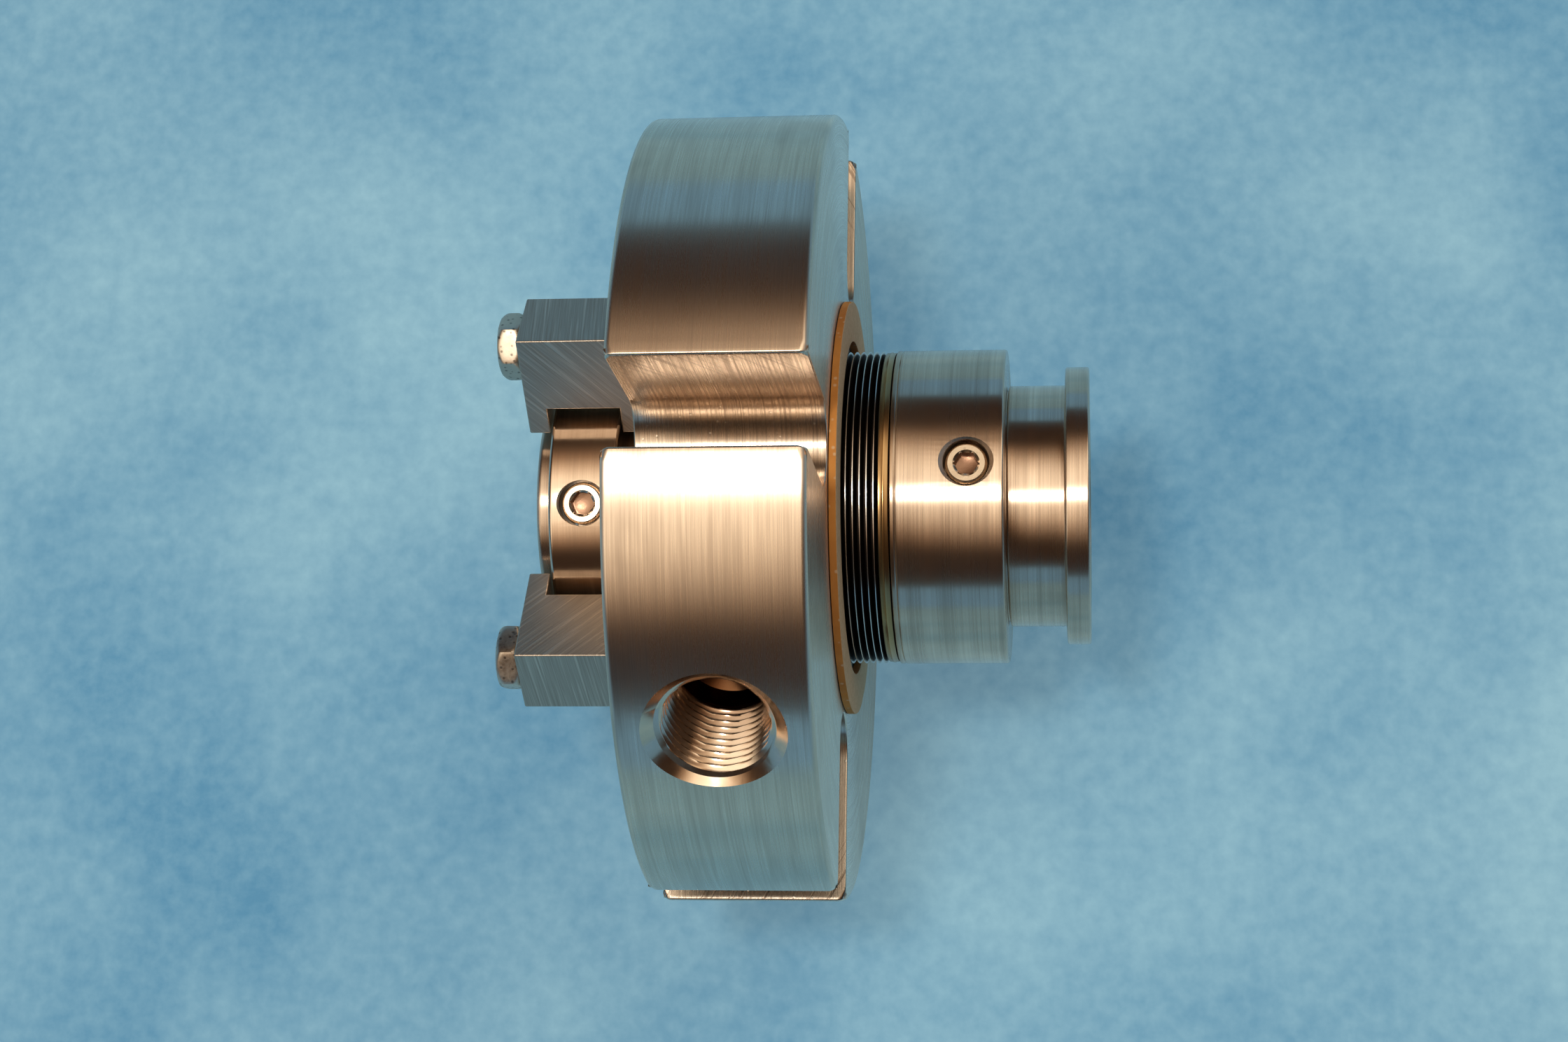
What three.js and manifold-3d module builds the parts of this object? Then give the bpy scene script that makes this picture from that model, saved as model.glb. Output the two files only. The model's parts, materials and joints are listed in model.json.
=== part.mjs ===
// Cartridge shaft seal for a pump: a gland plate that bolts to the pump, and a sleeve that turns with
// the shaft and carries a welded metal bellows. The bellows presses a carbon ring against a ceramic
// ring held in the gland. Four setting clips hold the two halves together until the seal is fitted.
//
// Millimetres. +X runs along the shaft towards the pump, and x = 0 is the gland's face against it.
// Angles are measured round the shaft from +Z towards +Y, so 0 points up through one bolt slot.

import * as THREE from 'three';
import { mergeVertices } from 'three/addons/utils/BufferGeometryUtils.js';
import Module from 'manifold-3d';

const wasm = await Module();
wasm.setup();

// ---- driving dimensions -------------------------------------------------------------------------

const GAP = 0.3;               // clearance left between neighbouring pieces
const PAST = 2;                // how far a cutter runs past the face that it opens
const FINE = 60;               // sides of the gland plate's circles
const ROUND = 40;              // sides of the rings round the shaft
const COARSE = 32;             // sides of the bellows and the O-rings
const SMALL = 16;              // sides of holes and screws
const SECTION = 6;             // sides of an O-ring's own round section

const SHAFT_RADIUS = 19.05;    // the pump shaft, 38.1 mm across

const GLAND = {
  radius: 75, thickness: 35, chamfer: 0.8,
  cavityRadius: 32, cavityDepth: 20,       // room for the bellows
  seatRadius: 29.2, seatDepth: 28,         // pocket of the mating ring
  throatRadius: 25,                        // outboard bore, holds the throttle bushing
};
const SLOT = { count: 4, width: 16, floorRadius: 40.1 };
const PORT = {
  angle: -45, x: -17.4,
  countersinkRadius: 12.75, mouthRadius: 10.4, endRadius: 9.2, depth: 24,
  passageRadius: 2.4, drillPoint: 5.5, sides: 24,
};
const GASKET = { innerRadius: 31.9, outerRadius: 39.7, left: 0.2, right: 1.6 };

const FACE_GAP_X = -17.4;      // the plane where the two sealing faces meet
const SEAT = {                 // the mating ring
  left: -GLAND.seatDepth + 0.4, shoulder: -GLAND.cavityDepth + 0.4, face: FACE_GAP_X - GAP / 2,
  radius: GLAND.seatRadius - GAP, noseRadius: 27.6, boreRadius: 23.2,
  grooveLeft: -24.6, grooveRight: -21.4, grooveFloor: 26,
};
const SEAT_RING = { x: -23, meanRadius: 27.6, sectionRadius: 1.25 };
const PIN = { radius: 1.2, angle: 80, ringRadius: 26.6, left: -31, right: -25.6, sides: 12 };
const RETAINER = { left: -33.7, right: -32.5, outerRadius: 26.2, innerRadius: 23.9, opening: 30 };
const BUSHING = { boreRadius: 22.5, radius: GLAND.throatRadius - GAP };

const SLEEVE = { radius: 22, left: -56.5, right: 46.5, chamfer: 0.8 };
const NECK = { radius: 22.96, left: 31 };
const FLANGE = { radius: 26.4, left: 42, chamfer: 0.5 };
const SLEEVE_RING = { x: 43.7, meanRadius: 20.25, sectionRadius: 1.3, half: 1.7, floor: 21.9 };

const COLLAR = { radius: 27, left: -53.3, right: -40.5, chamfer: 0.6, screwX: -47 };
const HOLDER = { radius: 29.95, left: 10.3, right: 31, chamfer: 0.5, screwX: 24.2 };
const HOLDER_RING = { x: 14, meanRadius: 23.7, sectionRadius: 1.35, half: 1.7, floor: 25.4 };
const SET_SCREW = { radius: 3.9, holeRadius: 4.3, socketAcrossFlats: 4, socketDepth: 3, edge: 0.4 };
const COLLAR_SCREWS = { count: 4, angle: -11.5, top: 26 };
const HOLDER_SCREWS = { count: 3, angle: 2, top: 28.6 };

const BELLOWS = {
  tipRadius: 29.9, valleyRadius: 28.2, innerRadius: 24.6,
  pitch: 1.27, lastTip: 7.35, convolutions: 12, endRingLeft: 8.1, endRingRadius: 29.6,
};
const SHELL = { radius: 28.2, left: -13, wallLeft: -9.5, pocketRadius: 26.6, boreRadius: 24.2 };
const PRIMARY = {              // the carbon ring, with a narrow raised face
  radius: SHELL.pocketRadius - GAP, boreRadius: 23.2,
  noseDepth: 1.6, noseInner: 24.1, noseOuter: 25.7,
};

const CLIP = {
  angles: [37.3, -58.4, 217.3, 121.6], width: 14,
  left: -57.8, innerEnd: 24, outerEnd: 45,
  notchLeft: -53.8, notchRight: -40.2, notchFloor: 29.5,
  screwRadius: 39,
};
const CLIP_SCREW = { shankRadius: 3.1, acrossFlats: 11.1, headHeight: 4, threadDepth: 10 };

const COLOURS = {
  turnedSteel: 0xa89888, groundSteel: 0x9a9084, collarSteel: 0x7d6a5c, fastener: 0xb0aaa0,
  gasket: 0xd2aa7c, carbon: 0x26262a, ceramic: 0x3a3c40, rubber: 0x161618,
};

// ---- helpers ------------------------------------------------------------------------------------

const radians = THREE.MathUtils.degToRad;
const steel = (color) => new THREE.MeshStandardMaterial({ color, roughness: 0.32, metalness: 1 });
const dull = (color, roughness) => new THREE.MeshStandardMaterial({ color, roughness, metalness: 0 });

// a closed three.js geometry as a solid that can be cut and joined
function solid(geometry) {
  const bare = geometry.clone();
  bare.deleteAttribute('normal');
  bare.deleteAttribute('uv');
  const merged = mergeVertices(bare, 1e-4);
  const corners = merged.index.array;
  const kept = [];
  for (let i = 0; i < corners.length; i += 3) {
    const [a, b, c] = [corners[i], corners[i + 1], corners[i + 2]];
    if (a !== b && b !== c && c !== a) kept.push(a, b, c);
  }
  return new wasm.Manifold(new wasm.Mesh({
    numProp: 3,
    vertProperties: new Float32Array(merged.attributes.position.array),
    triVerts: new Uint32Array(kept),
  }));
}

function geometryOf(manifold) {
  const mesh = manifold.getMesh();
  const geometry = new THREE.BufferGeometry();
  geometry.setAttribute('position', new THREE.BufferAttribute(new Float32Array(mesh.vertProperties), 3));
  geometry.setIndex(new THREE.BufferAttribute(new Uint32Array(mesh.triVerts), 1));
  geometry.computeVertexNormals();
  return geometry;
}

// an outline of [along, radius] corners, listed so that the material is on its left, turned round Y
function revolve(outline, segments) {
  const points = outline.map(([along, radius]) => new THREE.Vector2(radius, along)).reverse();
  if (outline[0][1] > 0) points.push(points[0].clone());
  return new THREE.LatheGeometry(points, segments);
}

// the same, turned round the shaft
const turned = (outline, segments = ROUND) => revolve(outline, segments).rotateZ(-Math.PI / 2);

// the same, turned round a radius that leaves the shaft at x in the direction of the angle
function turnedOnRadius(outline, angle, x, segments = SMALL) {
  return revolve(outline, segments).rotateX(Math.PI / 2).rotateX(-radians(angle)).translate(x, 0, 0);
}

// a plain ring or tube round the shaft, with chamfered outer corners
function tube(left, right, inner, outer, chamfer = 0, segments = ROUND) {
  const outline = chamfer > 0
    ? [[left, inner], [right, inner], [right, outer - chamfer], [right - chamfer, outer],
      [left + chamfer, outer], [left, outer - chamfer]]
    : [[left, inner], [right, inner], [right, outer], [left, outer]];
  return turned(outline, segments);
}

// a solid disc or peg along X whose axis passes through (y, z)
function peg(left, right, radius, y = 0, z = 0, segments = SMALL) {
  return turned([[right, 0], [right, radius], [left, radius], [left, 0]], segments)
    .translate(0, y, z);
}

// a hexagonal bar along X, two of its flats facing up and down
function hexBar(left, right, acrossFlats) {
  const corner = acrossFlats / Math.sqrt(3);
  return new THREE.CylinderGeometry(corner, corner, right - left, 6)
    .rotateZ(-Math.PI / 2).translate((left + right) / 2, 0, 0);
}

// a ring of round section, such as an O-ring, round the shaft
function oRing({ x, meanRadius, sectionRadius }) {
  const outline = [];
  for (let i = 0; i < SECTION; i += 1) {
    const turn = 2 * Math.PI * i / SECTION;
    outline.push([x + sectionRadius * Math.cos(turn), meanRadius + sectionRadius * Math.sin(turn)]);
  }
  return turned(outline, COARSE);
}

const spaced = (count, first) => Array.from({ length: count }, (_, i) => first + i * 360 / count);
const across = (angle, radius) => [radius * Math.sin(radians(angle)), radius * Math.cos(radians(angle))];

const seal = new THREE.Group();

function add(name, shape, material) {
  const geometry = shape instanceof THREE.BufferGeometry ? shape : geometryOf(shape);
  const mesh = new THREE.Mesh(geometry, material);
  mesh.name = name;
  seal.add(mesh);
}

// ---- gland plate and what is fixed in it --------------------------------------------------------

function slotCutter(angle) {
  const half = SLOT.width / 2;
  const centre = SLOT.floorRadius + half;
  const rim = GLAND.radius + PAST;
  const shape = new THREE.Shape();
  shape.moveTo(half, rim);
  shape.lineTo(-half, rim);
  shape.lineTo(-half, centre);
  shape.absarc(0, centre, half, Math.PI, 2 * Math.PI, false);
  const length = GLAND.thickness + 2 * PAST;
  return new THREE.ExtrudeGeometry(shape, { depth: length, bevelEnabled: false, curveSegments: 10 })
    .applyMatrix4(new THREE.Matrix4().makeBasis(
      new THREE.Vector3(0, 1, 0), new THREE.Vector3(0, 0, 1), new THREE.Vector3(1, 0, 0)))
    .rotateX(-radians(angle))
    .translate(-GLAND.thickness - PAST, 0, 0);
}

function portCutter() {
  const sinkEnd = GLAND.radius - (PORT.countersinkRadius - PORT.mouthRadius);
  const floor = GLAND.radius - PORT.depth;
  return turnedOnRadius([
    [GLAND.radius + PAST, 0],
    [GLAND.radius + PAST, PORT.countersinkRadius + PAST],
    [sinkEnd, PORT.mouthRadius],
    [floor, PORT.endRadius],
    [floor - PORT.drillPoint, PORT.passageRadius],
    [GLAND.cavityRadius - PAST, PORT.passageRadius],
    [GLAND.cavityRadius - PAST, 0],
  ], PORT.angle, PORT.x, PORT.sides);
}

// the pin that stops the mating ring from turning, or the hole that it needs
function pinShape(left, right, clearance = 0) {
  const [y, z] = across(PIN.angle, PIN.ringRadius);
  return peg(left, right, PIN.radius + clearance, y, z, PIN.sides);
}

function glandPlate() {
  const { radius, thickness, chamfer, cavityRadius, cavityDepth } = GLAND;
  const { seatRadius, seatDepth, throatRadius } = GLAND;
  let plate = solid(turned([
    [-thickness, throatRadius],
    [RETAINER.left - GAP, throatRadius],
    [RETAINER.left - GAP, RETAINER.outerRadius + GAP],
    [RETAINER.right + GAP, RETAINER.outerRadius + GAP],
    [RETAINER.right + GAP, throatRadius],
    [-seatDepth, throatRadius],
    [-seatDepth, seatRadius],
    [-cavityDepth, seatRadius],
    [-cavityDepth, cavityRadius],
    [0, cavityRadius],
    [0, radius - chamfer],
    [-chamfer, radius],
    [-thickness + chamfer, radius],
    [-thickness, radius - chamfer],
  ], FINE));
  for (const angle of spaced(SLOT.count, 0)) plate = plate.subtract(solid(slotCutter(angle)));
  plate = plate.subtract(solid(portCutter()));
  for (const angle of CLIP.angles) {
    const [y, z] = across(angle, CLIP.screwRadius);
    const bottom = -thickness + CLIP_SCREW.threadDepth + 1;
    plate = plate.subtract(solid(peg(-thickness - PAST, bottom, CLIP_SCREW.shankRadius + GAP, y, z)));
  }
  return plate.subtract(solid(pinShape(PIN.left - GAP, -seatDepth + PAST, GAP)));
}

add('gland_plate', glandPlate(), steel(COLOURS.turnedSteel));
add('gland_gasket', tube(GASKET.left, GASKET.right, GASKET.innerRadius, GASKET.outerRadius),
  dull(COLOURS.gasket, 0.85));

function matingRing() {
  const ring = solid(turned([
    [SEAT.left, SEAT.boreRadius],
    [SEAT.face, SEAT.boreRadius],
    [SEAT.face, SEAT.noseRadius],
    [SEAT.shoulder, SEAT.noseRadius],
    [SEAT.shoulder, SEAT.radius],
    [SEAT.grooveRight, SEAT.radius],
    [SEAT.grooveRight, SEAT.grooveFloor],
    [SEAT.grooveLeft, SEAT.grooveFloor],
    [SEAT.grooveLeft, SEAT.radius],
    [SEAT.left, SEAT.radius],
  ]));
  return ring.subtract(solid(pinShape(SEAT.left - PAST, PIN.right + GAP, GAP)));
}

add('mating_ring', matingRing(), dull(COLOURS.ceramic, 0.3));
add('mating_ring_seal', oRing(SEAT_RING), dull(COLOURS.rubber, 0.7));
add('anti_rotation_pin', pinShape(PIN.left, PIN.right), steel(COLOURS.fastener));
add('throttle_bushing',
  tube(RETAINER.right + GAP, -GLAND.seatDepth - GAP, BUSHING.boreRadius, BUSHING.radius),
  dull(COLOURS.carbon, 0.6));

// a split spring ring that keeps the throttle bushing in the outboard bore
function retainingRing() {
  const half = radians(RETAINER.opening) / 2;
  const shape = new THREE.Shape();
  shape.absarc(0, 0, RETAINER.outerRadius, half, 2 * Math.PI - half, false);
  shape.absarc(0, 0, RETAINER.innerRadius, 2 * Math.PI - half, half, true);
  return new THREE.ExtrudeGeometry(shape, {
    depth: RETAINER.right - RETAINER.left, bevelEnabled: false, curveSegments: ROUND,
  }).applyMatrix4(new THREE.Matrix4().makeBasis(
    new THREE.Vector3(0, 1, 0), new THREE.Vector3(0, 0, 1), new THREE.Vector3(1, 0, 0)))
    .translate(RETAINER.left, 0, 0);
}

add('retaining_ring', retainingRing(), steel(COLOURS.fastener));

// ---- setting clips and their cap screws ---------------------------------------------------------

// a block with a notch that straddles the drive collar and sets the sleeve's place along the shaft
function settingClip(angle) {
  const right = -GLAND.thickness - GAP;
  const outline = new THREE.Shape([
    [CLIP.left, CLIP.outerEnd], [CLIP.left, CLIP.innerEnd],
    [CLIP.notchLeft, CLIP.innerEnd], [CLIP.notchLeft, CLIP.notchFloor],
    [CLIP.notchRight, CLIP.notchFloor], [CLIP.notchRight, CLIP.innerEnd],
    [right, CLIP.innerEnd], [right, CLIP.outerEnd],
  ].map(([x, out]) => new THREE.Vector2(x, out)));
  const block = new THREE.ExtrudeGeometry(outline, { depth: CLIP.width, bevelEnabled: false })
    .translate(0, 0, -CLIP.width / 2)
    .applyMatrix4(new THREE.Matrix4().makeBasis(
      new THREE.Vector3(1, 0, 0), new THREE.Vector3(0, 0, 1), new THREE.Vector3(0, -1, 0)));
  const hole = peg(CLIP.left - PAST, right + PAST, CLIP_SCREW.shankRadius + GAP, 0, CLIP.screwRadius);
  return geometryOf(solid(block).subtract(solid(hole))).rotateX(-radians(angle));
}

function clipScrew(angle) {
  const seat = CLIP.left - GAP;
  const tip = -GLAND.thickness + CLIP_SCREW.threadDepth;
  const head = solid(hexBar(seat - CLIP_SCREW.headHeight, seat, CLIP_SCREW.acrossFlats));
  const shank = solid(peg(seat - 1, tip, CLIP_SCREW.shankRadius));
  return geometryOf(head.add(shank)).translate(0, 0, CLIP.screwRadius).rotateX(-radians(angle));
}

CLIP.angles.forEach((angle, i) => {
  add(`setting_clip_${i + 1}`, settingClip(angle), steel(COLOURS.groundSteel));
  add(`clip_screw_${i + 1}`, clipScrew(angle), steel(COLOURS.fastener));
});

// ---- sleeve, drive collar and bellows holder, which turn with the shaft -------------------------

function setScrewHoles(body, screws, x, inner, outer) {
  let cut = body;
  for (const angle of spaced(screws.count, screws.angle)) {
    const hole = turnedOnRadius(
      [[outer, 0], [outer, SET_SCREW.holeRadius], [inner, SET_SCREW.holeRadius], [inner, 0]],
      angle, x);
    cut = cut.subtract(solid(hole));
  }
  return cut;
}

function shaftSleeve() {
  const groove = SLEEVE_RING;
  const body = solid(turned([
    [SLEEVE.left, SHAFT_RADIUS],
    [groove.x - groove.half, SHAFT_RADIUS],
    [groove.x - groove.half, groove.floor],
    [groove.x + groove.half, groove.floor],
    [groove.x + groove.half, SHAFT_RADIUS],
    [SLEEVE.right, SHAFT_RADIUS],
    [SLEEVE.right, FLANGE.radius - FLANGE.chamfer],
    [SLEEVE.right - FLANGE.chamfer, FLANGE.radius],
    [FLANGE.left + FLANGE.chamfer, FLANGE.radius],
    [FLANGE.left, FLANGE.radius - FLANGE.chamfer],
    [FLANGE.left, NECK.radius],
    [NECK.left + GAP, NECK.radius],
    [NECK.left + GAP, SLEEVE.radius],
    [SLEEVE.left + SLEEVE.chamfer, SLEEVE.radius],
    [SLEEVE.left, SLEEVE.radius - SLEEVE.chamfer],
  ]));
  return setScrewHoles(body, COLLAR_SCREWS, COLLAR.screwX, SHAFT_RADIUS - PAST, SLEEVE.radius + PAST);
}

function driveCollar() {
  const body = solid(tube(COLLAR.left, COLLAR.right, SLEEVE.radius + GAP, COLLAR.radius, COLLAR.chamfer));
  return setScrewHoles(body, COLLAR_SCREWS, COLLAR.screwX, SLEEVE.radius - PAST, COLLAR.radius + PAST);
}

function bellowsHolder() {
  const groove = HOLDER_RING;
  const bore = SLEEVE.radius + GAP;
  const body = solid(turned([
    [HOLDER.left, bore],
    [groove.x - groove.half, bore],
    [groove.x - groove.half, groove.floor],
    [groove.x + groove.half, groove.floor],
    [groove.x + groove.half, bore],
    [HOLDER.right, bore],
    [HOLDER.right, HOLDER.radius - HOLDER.chamfer],
    [HOLDER.right - HOLDER.chamfer, HOLDER.radius],
    [HOLDER.left, HOLDER.radius],
  ]));
  return setScrewHoles(body, HOLDER_SCREWS, HOLDER.screwX, bore - PAST, HOLDER.radius + PAST);
}

// a threaded plug on a radius, driven by a hexagonal socket
function setScrew(angle, x, bottom, top) {
  const { radius, socketAcrossFlats, socketDepth, edge } = SET_SCREW;
  const body = solid(turnedOnRadius([
    [top, 0], [top, radius - edge], [top - edge, radius],
    [bottom + edge, radius], [bottom, radius - edge], [bottom, 0],
  ], 0, 0));
  const socket = hexBar(top - socketDepth, top + PAST, socketAcrossFlats).rotateY(-Math.PI / 2);
  return geometryOf(body.subtract(solid(socket))).rotateX(-radians(angle)).translate(x, 0, 0);
}

add('shaft_sleeve', shaftSleeve(), steel(COLOURS.turnedSteel));
add('sleeve_o_ring', oRing(SLEEVE_RING), dull(COLOURS.rubber, 0.7));

add('drive_collar', driveCollar(), steel(COLOURS.collarSteel));
spaced(COLLAR_SCREWS.count, COLLAR_SCREWS.angle).forEach((angle, i) => {
  const bottom = SHAFT_RADIUS + GAP;
  add(`collar_set_screw_${i + 1}`, setScrew(angle, COLLAR.screwX, bottom, COLLAR_SCREWS.top),
    steel(COLOURS.fastener));
});

add('bellows_holder', bellowsHolder(), steel(COLOURS.turnedSteel));
add('holder_o_ring', oRing(HOLDER_RING), dull(COLOURS.rubber, 0.7));
spaced(HOLDER_SCREWS.count, HOLDER_SCREWS.angle).forEach((angle, i) => {
  const bottom = SLEEVE.radius + GAP;
  add(`holder_set_screw_${i + 1}`, setScrew(angle, HOLDER.screwX, bottom, HOLDER_SCREWS.top),
    steel(COLOURS.fastener));
});

// ---- bellows, face shell and primary ring -------------------------------------------------------

// thin discs welded at their edges: a saw-tooth outline with a plain ring at the holder's end
function bellowsCore() {
  const firstTip = BELLOWS.lastTip - (BELLOWS.convolutions - 1) * BELLOWS.pitch;
  const left = firstTip - BELLOWS.pitch / 2;
  const right = HOLDER.left - GAP;
  const outline = [
    [left, BELLOWS.innerRadius],
    [right, BELLOWS.innerRadius],
    [right, BELLOWS.endRingRadius],
    [BELLOWS.endRingLeft, BELLOWS.endRingRadius],
  ];
  for (let i = BELLOWS.convolutions - 1; i >= 0; i -= 1) {
    const tip = firstTip + i * BELLOWS.pitch;
    outline.push([tip, BELLOWS.tipRadius], [tip - BELLOWS.pitch / 2, BELLOWS.valleyRadius]);
  }
  return turned(outline, COARSE);
}

function faceShell() {
  const right = BELLOWS.lastTip - (BELLOWS.convolutions - 0.5) * BELLOWS.pitch - GAP;
  return turned([
    [SHELL.left, SHELL.pocketRadius],
    [SHELL.wallLeft, SHELL.pocketRadius],
    [SHELL.wallLeft, SHELL.boreRadius],
    [right, SHELL.boreRadius],
    [right, SHELL.radius],
    [SHELL.left, SHELL.radius],
  ]);
}

function primaryRing() {
  const face = FACE_GAP_X + GAP / 2;
  const shoulder = face + PRIMARY.noseDepth;
  return turned([
    [shoulder, PRIMARY.boreRadius],
    [SHELL.wallLeft - GAP, PRIMARY.boreRadius],
    [SHELL.wallLeft - GAP, PRIMARY.radius],
    [shoulder, PRIMARY.radius],
    [shoulder, PRIMARY.noseOuter],
    [face, PRIMARY.noseOuter],
    [face, PRIMARY.noseInner],
    [shoulder, PRIMARY.noseInner],
  ]);
}

add('bellows_core', bellowsCore(), steel(COLOURS.turnedSteel));
add('face_shell', faceShell(), steel(COLOURS.turnedSteel));
add('primary_ring', primaryRing(), dull(COLOURS.carbon, 0.45));

export default seal;
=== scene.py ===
import json
import math
import random

import bmesh
import bpy
from mathutils import Matrix, Vector


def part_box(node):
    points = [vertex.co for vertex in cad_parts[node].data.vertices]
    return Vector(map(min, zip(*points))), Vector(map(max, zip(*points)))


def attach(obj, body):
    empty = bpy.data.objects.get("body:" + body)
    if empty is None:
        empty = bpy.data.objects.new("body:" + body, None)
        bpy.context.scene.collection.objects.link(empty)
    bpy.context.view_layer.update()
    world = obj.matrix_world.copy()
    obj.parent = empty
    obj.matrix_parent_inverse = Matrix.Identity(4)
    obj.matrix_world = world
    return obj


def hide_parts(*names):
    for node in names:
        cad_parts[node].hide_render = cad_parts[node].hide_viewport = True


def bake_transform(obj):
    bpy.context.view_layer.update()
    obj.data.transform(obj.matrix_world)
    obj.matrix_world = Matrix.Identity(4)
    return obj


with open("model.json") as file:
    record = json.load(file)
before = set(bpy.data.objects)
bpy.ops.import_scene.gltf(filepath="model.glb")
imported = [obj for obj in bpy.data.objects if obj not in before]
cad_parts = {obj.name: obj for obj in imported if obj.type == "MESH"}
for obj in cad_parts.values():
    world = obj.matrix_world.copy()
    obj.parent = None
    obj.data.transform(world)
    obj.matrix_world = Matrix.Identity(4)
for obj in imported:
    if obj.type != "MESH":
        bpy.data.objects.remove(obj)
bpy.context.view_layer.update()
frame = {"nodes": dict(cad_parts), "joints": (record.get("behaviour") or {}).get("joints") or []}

# The looks of a cartridge bellows shaft seal. Lengths in the helpers are millimetres in the part's own
# frame: +X along the shaft towards the pump, angles round the shaft from +Z towards +Y.

MM = 0.001
FINE = 288          # facets round the gland plate
ROUND = 192         # facets round the rings on the shaft
SMALL = 96          # facets round screws, holes and the flush port


# ---- sizes read from the frame --------------------------------------------------------------------

def span(node, axis=0):
    """Where a CAD node starts and ends along one axis, in millimetres."""
    low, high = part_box(node)
    return low[axis] / MM, high[axis] / MM


def outer_radius(node):
    low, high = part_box(node)
    return max(high.y, high.z, -low.y, -low.z) / MM


def angle_of(node):
    """The angle round the shaft of a CAD node's centre, in degrees."""
    low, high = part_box(node)
    middle = (low + high) / 2
    return math.degrees(math.atan2(middle.y, middle.z))


GLAND_LEFT, GLAND_RIGHT = span("gland_plate")
GLAND_RADIUS = 75.0
RIM_EDGE, SLOT_EDGE, CORNER_EDGE, CORNER = 1.1, 0.3, 1.7, 0.5
SLOT_HALF, SLOT_FLOOR = 8.0, 40.1
CAVITY_RADIUS, CAVITY_DEPTH = 32.0, 20.0
SEAT_RADIUS, SEAT_DEPTH = 29.2, 28.0
THROAT_RADIUS = 25.0
PORT_ANGLE, PORT_X = -45.0, -17.4
PORT_SINK_RADIUS, PORT_RADIUS, PORT_DRILL_RADIUS = 12.75, 10.65, 8.95
PORT_THREAD_DEPTH, PORT_THREAD_LENGTH, PORT_DEPTH = 1.15, 19.0, 24.0
PORT_PASSAGE_RADIUS, PORT_DRILL_POINT = 2.4, 5.5
THREAD_PITCH = 25.4 / 14
SHAFT_RADIUS, SLEEVE_RADIUS, NECK_RADIUS = 19.05, 22.0, 22.96
HOLE_RADIUS, SCREW_RADIUS, SOCKET_FLATS = 4.3, 3.9, 4.0
HEAD_FLATS, SHANK_RADIUS = 11.1, 3.1
GASKET_INNER, SEAT_BORE, BUSHING_BORE = 31.9, 23.2, 22.5
COLLAR_SCREW_TOP, HOLDER_SCREW_TOP = 26.0, 28.6      # how far out the set screws reach
SOCKET_DEPTH, SOCKET_CONE = 2.7, 0.7
SLIDING_FIT = 0.05


# ---- mesh helpers ---------------------------------------------------------------------------------

def fillet(before, corner, after, radius, steps):
    """The points of a round corner between two straight runs."""
    a, b = (before - corner).normalized(), (after - corner).normalized()
    half = a.angle(b) / 2
    reach = min(radius / math.tan(half), (before - corner).length * 0.49, (after - corner).length * 0.49)
    radius = reach * math.tan(half)
    centre = corner + (a + b).normalized() * radius / math.sin(half)
    start, end = corner + a * reach - centre, corner + b * reach - centre
    sweep = start.angle_signed(end)
    return [centre + Matrix.Rotation(-sweep * i / steps, 2) @ start for i in range(steps + 1)]


def rounded(outline, steps=4, closed=True):
    """An outline of (along, radius) or (along, radius, fillet) corners, with its corners rounded."""
    points = []
    count = len(outline)
    for i, corner in enumerate(outline):
        here = Vector(corner[:2])
        inside = closed or 0 < i < count - 1
        if len(corner) > 2 and corner[2] > 0 and inside:
            before, after = Vector(outline[i - 1][:2]), Vector(outline[(i + 1) % count][:2])
            points += fillet(before, here, after, corner[2], steps)
        else:
            points.append(here)
    return [(p[0], p[1]) for p in points]


def mesh_object(name, vertices, faces):
    """A new mesh object from millimetres."""
    mesh = bpy.data.meshes.new(name)
    mesh.from_pydata([(x * MM, y * MM, z * MM) for x, y, z in vertices], [], faces)
    obj = bpy.data.objects.new(name, mesh)
    bpy.context.scene.collection.objects.link(obj)
    work = bmesh.new()
    work.from_mesh(mesh)
    bmesh.ops.remove_doubles(work, verts=work.verts, dist=1e-7)
    work.to_mesh(mesh)
    work.free()
    return obj


def spin(name, rings, segments=ROUND, turn=0.0):
    """A closed solid of rings (along, radius) round X; a radius may be a function of the angle."""
    vertices, faces = [], []
    for along, radius in rings:
        for j in range(segments):
            a = 2 * math.pi * j / segments
            r = radius(a) if callable(radius) else radius
            vertices.append((along, r * math.sin(a + turn), r * math.cos(a + turn)))
    count = len(rings)
    for i in range(count):
        for j in range(segments):
            k, n = (j + 1) % segments, (i + 1) % count
            faces.append((i * segments + j, i * segments + k, n * segments + k, n * segments + j))
    return mesh_object(name, vertices, faces)


def lathe(name, outline, segments=ROUND, steps=4):
    """A solid turned round the shaft. The outline keeps the material on its left."""
    return spin(name, rounded(outline, steps), segments)


def on_radius(obj, angle, x=0.0):
    """Turns a piece made along X so that it points out from the shaft at an angle."""
    a = math.radians(angle)
    turn = Matrix(((0, 1, 0), (math.sin(a), 0, math.cos(a)), (math.cos(a), 0, -math.sin(a)))).to_4x4()
    obj.data.transform(Matrix.Translation((x * MM, 0, 0)) @ turn)
    return obj


def cut(obj, cutter, operation="DIFFERENCE"):
    modifier = obj.modifiers.new("cut", "BOOLEAN")
    modifier.object = cutter
    modifier.operation = operation
    modifier.solver = "EXACT"
    settle(obj)
    spent = cutter.data
    bpy.data.objects.remove(cutter)
    bpy.data.meshes.remove(spent)
    return obj


def settle(obj):
    """Applies every modifier."""
    found = bpy.context.evaluated_depsgraph_get()
    made = bpy.data.meshes.new_from_object(obj.evaluated_get(found))
    old = obj.data
    obj.modifiers.clear()
    obj.data = made
    bpy.data.meshes.remove(old)


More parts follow.
